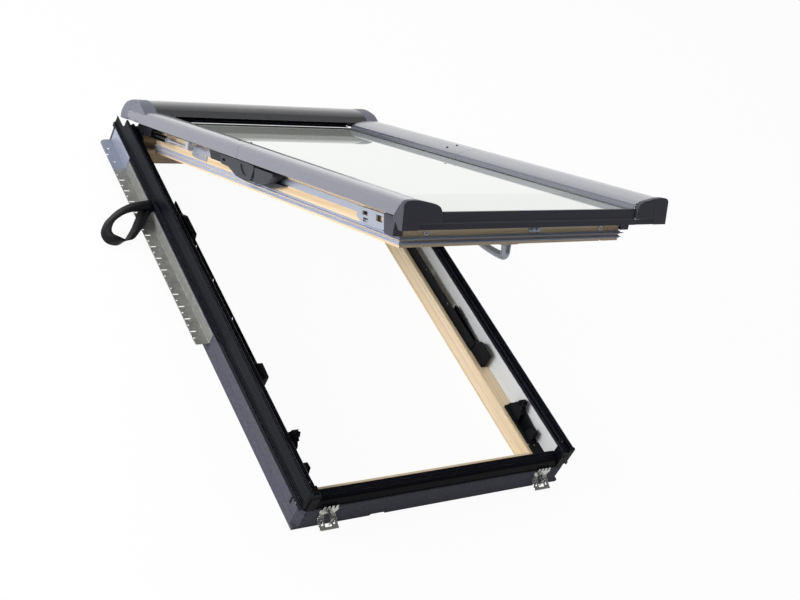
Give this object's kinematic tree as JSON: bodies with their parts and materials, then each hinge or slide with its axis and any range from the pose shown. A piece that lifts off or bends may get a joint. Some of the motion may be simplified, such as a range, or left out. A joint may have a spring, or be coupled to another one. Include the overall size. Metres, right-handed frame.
{
  "type": "roof skylight",
  "caption": "Timber roof skylight with lifting arms and a pivoting glazed sash, clad covers, gutters, foam collar and perforated side angles, shown open.",
  "frame": {"origin": "middle of the bottom rail's back face, on its lower edge line, in the plane the window is fixed on", "axes": "+X to the right seen from outside, +Y up the slope, +Z out of the roof"},
  "size_m": [0.9959, 1.4333, 0.8655],
  "materials": {
    "frame_pine": "clear lacquered pine, satin",
    "sash_pine": "clear lacquered pine, satin",
    "liner_plastic": "pale grey, smooth",
    "gutter_plastic": "black, ribbed, semi-gloss",
    "foam": "grey bead foam, speckled",
    "moulded_black": "moulded black",
    "galvanised": "galvanised sheet",
    "zinc_pale": "pale zinc",
    "spring_steel": "dull spring steel",
    "screw_steel": "bright steel",
    "webbing": "black woven webbing",
    "arm_steel": "dark grey coated steel",
    "strut_steel": "dark tube, bright rod",
    "cladding": "grey lacquered aluminium, satin",
    "cladding_cap": "dark grey moulded, satin",
    "cladding_dark": "dark grey lacquered aluminium, satin",
    "dark_screw": "dark screw",
    "moulded_grey": "dark grey moulded",
    "outer_glass": "coated glass, strongly reflecting",
    "inner_glass": "clear glass",
    "spacer": "grey edge seal",
    "gasket": "silver grey soft seal",
    "lock_silver": "silver, brushed",
    "handle_silver": "silver grey, satin"
  },
  "bodies": {
    "frame": {"frame_stile_left": "frame_pine", "frame_stile_right": "frame_pine", "frame_rail_bottom": "frame_pine", "frame_rail_top": "frame_pine", "liner_left": "liner_plastic", "liner_right": "liner_plastic", "gutter_left": "gutter_plastic", "gutter_right": "gutter_plastic", "gutter_bottom": "gutter_plastic", "gutter_top": "gutter_plastic", "foam_left": "foam", "foam_right": "foam", "foam_bottom": "foam", "foam_top": "foam", "corner_cover_left": "moulded_black", "corner_cover_right": "moulded_black", "mounting_plates": "galvanised", "end_bracket_left": "zinc_pale", "end_bracket_right": "zinc_pale", "flashing_clips": "spring_steel", "frame_screws": "screw_steel", "stop_plates": "spring_steel", "keepers": "moulded_black", "stay_bars": "moulded_black", "stay_blocks": "moulded_black", "guide_blocks": "moulded_black", "hinge_plates": "spring_steel", "strap_loop": "webbing"},
    "arms": {"lift_arms": "arm_steel", "struts": "strut_steel", "upper_cover_left": "cladding", "upper_cover_right": "cladding", "cover_screws": "dark_screw", "hood": "cladding", "hood_cap_left": "cladding_cap", "hood_cap_right": "cladding_cap", "hood_trim": "gutter_plastic", "pivot_guides": "moulded_grey"},
    "sash": {"sash_stile_left": "sash_pine", "sash_stile_right": "sash_pine", "sash_rail_bottom": "sash_pine", "sash_rail_top": "sash_pine", "glass_outer": "outer_glass", "glass_spacer": "spacer", "glass_inner": "inner_glass", "lower_cover_left": "cladding", "lower_cover_right": "cladding", "bottom_cover": "cladding_dark", "corner_cap_left": "cladding_cap", "corner_cap_right": "cladding_cap", "gasket_upper": "gasket", "gasket_lower": "gasket", "lock_rails": "lock_silver", "lock_cases": "lock_silver", "pivot_shoes": "moulded_grey", "eyelet_screws": "screw_steel", "centre_latch": "lock_silver", "handle_rose": "handle_silver"},
    "handle": {"handle": "handle_silver"}
  },
  "joints": [
    {"name": "top_hinge", "type": "hinge", "parent": "frame", "child": "arms", "pos_m": [0, 1.265, 0.118], "axis": [-1, 0, 0], "range_deg": [-31.2, 13.8]},
    {"name": "centre_pivot", "type": "hinge", "parent": "arms", "child": "sash", "pos_m": [0, 0.7638, 0.4885], "axis": [-1, 0, 0], "range_deg": [0, 120]},
    {"name": "handle_turn", "type": "hinge", "parent": "sash", "child": "handle", "pos_m": [0, 0.1855, 0.6957], "axis": [0, 0.518, 0.8554], "range_deg": [-90, 90]}
  ]
}
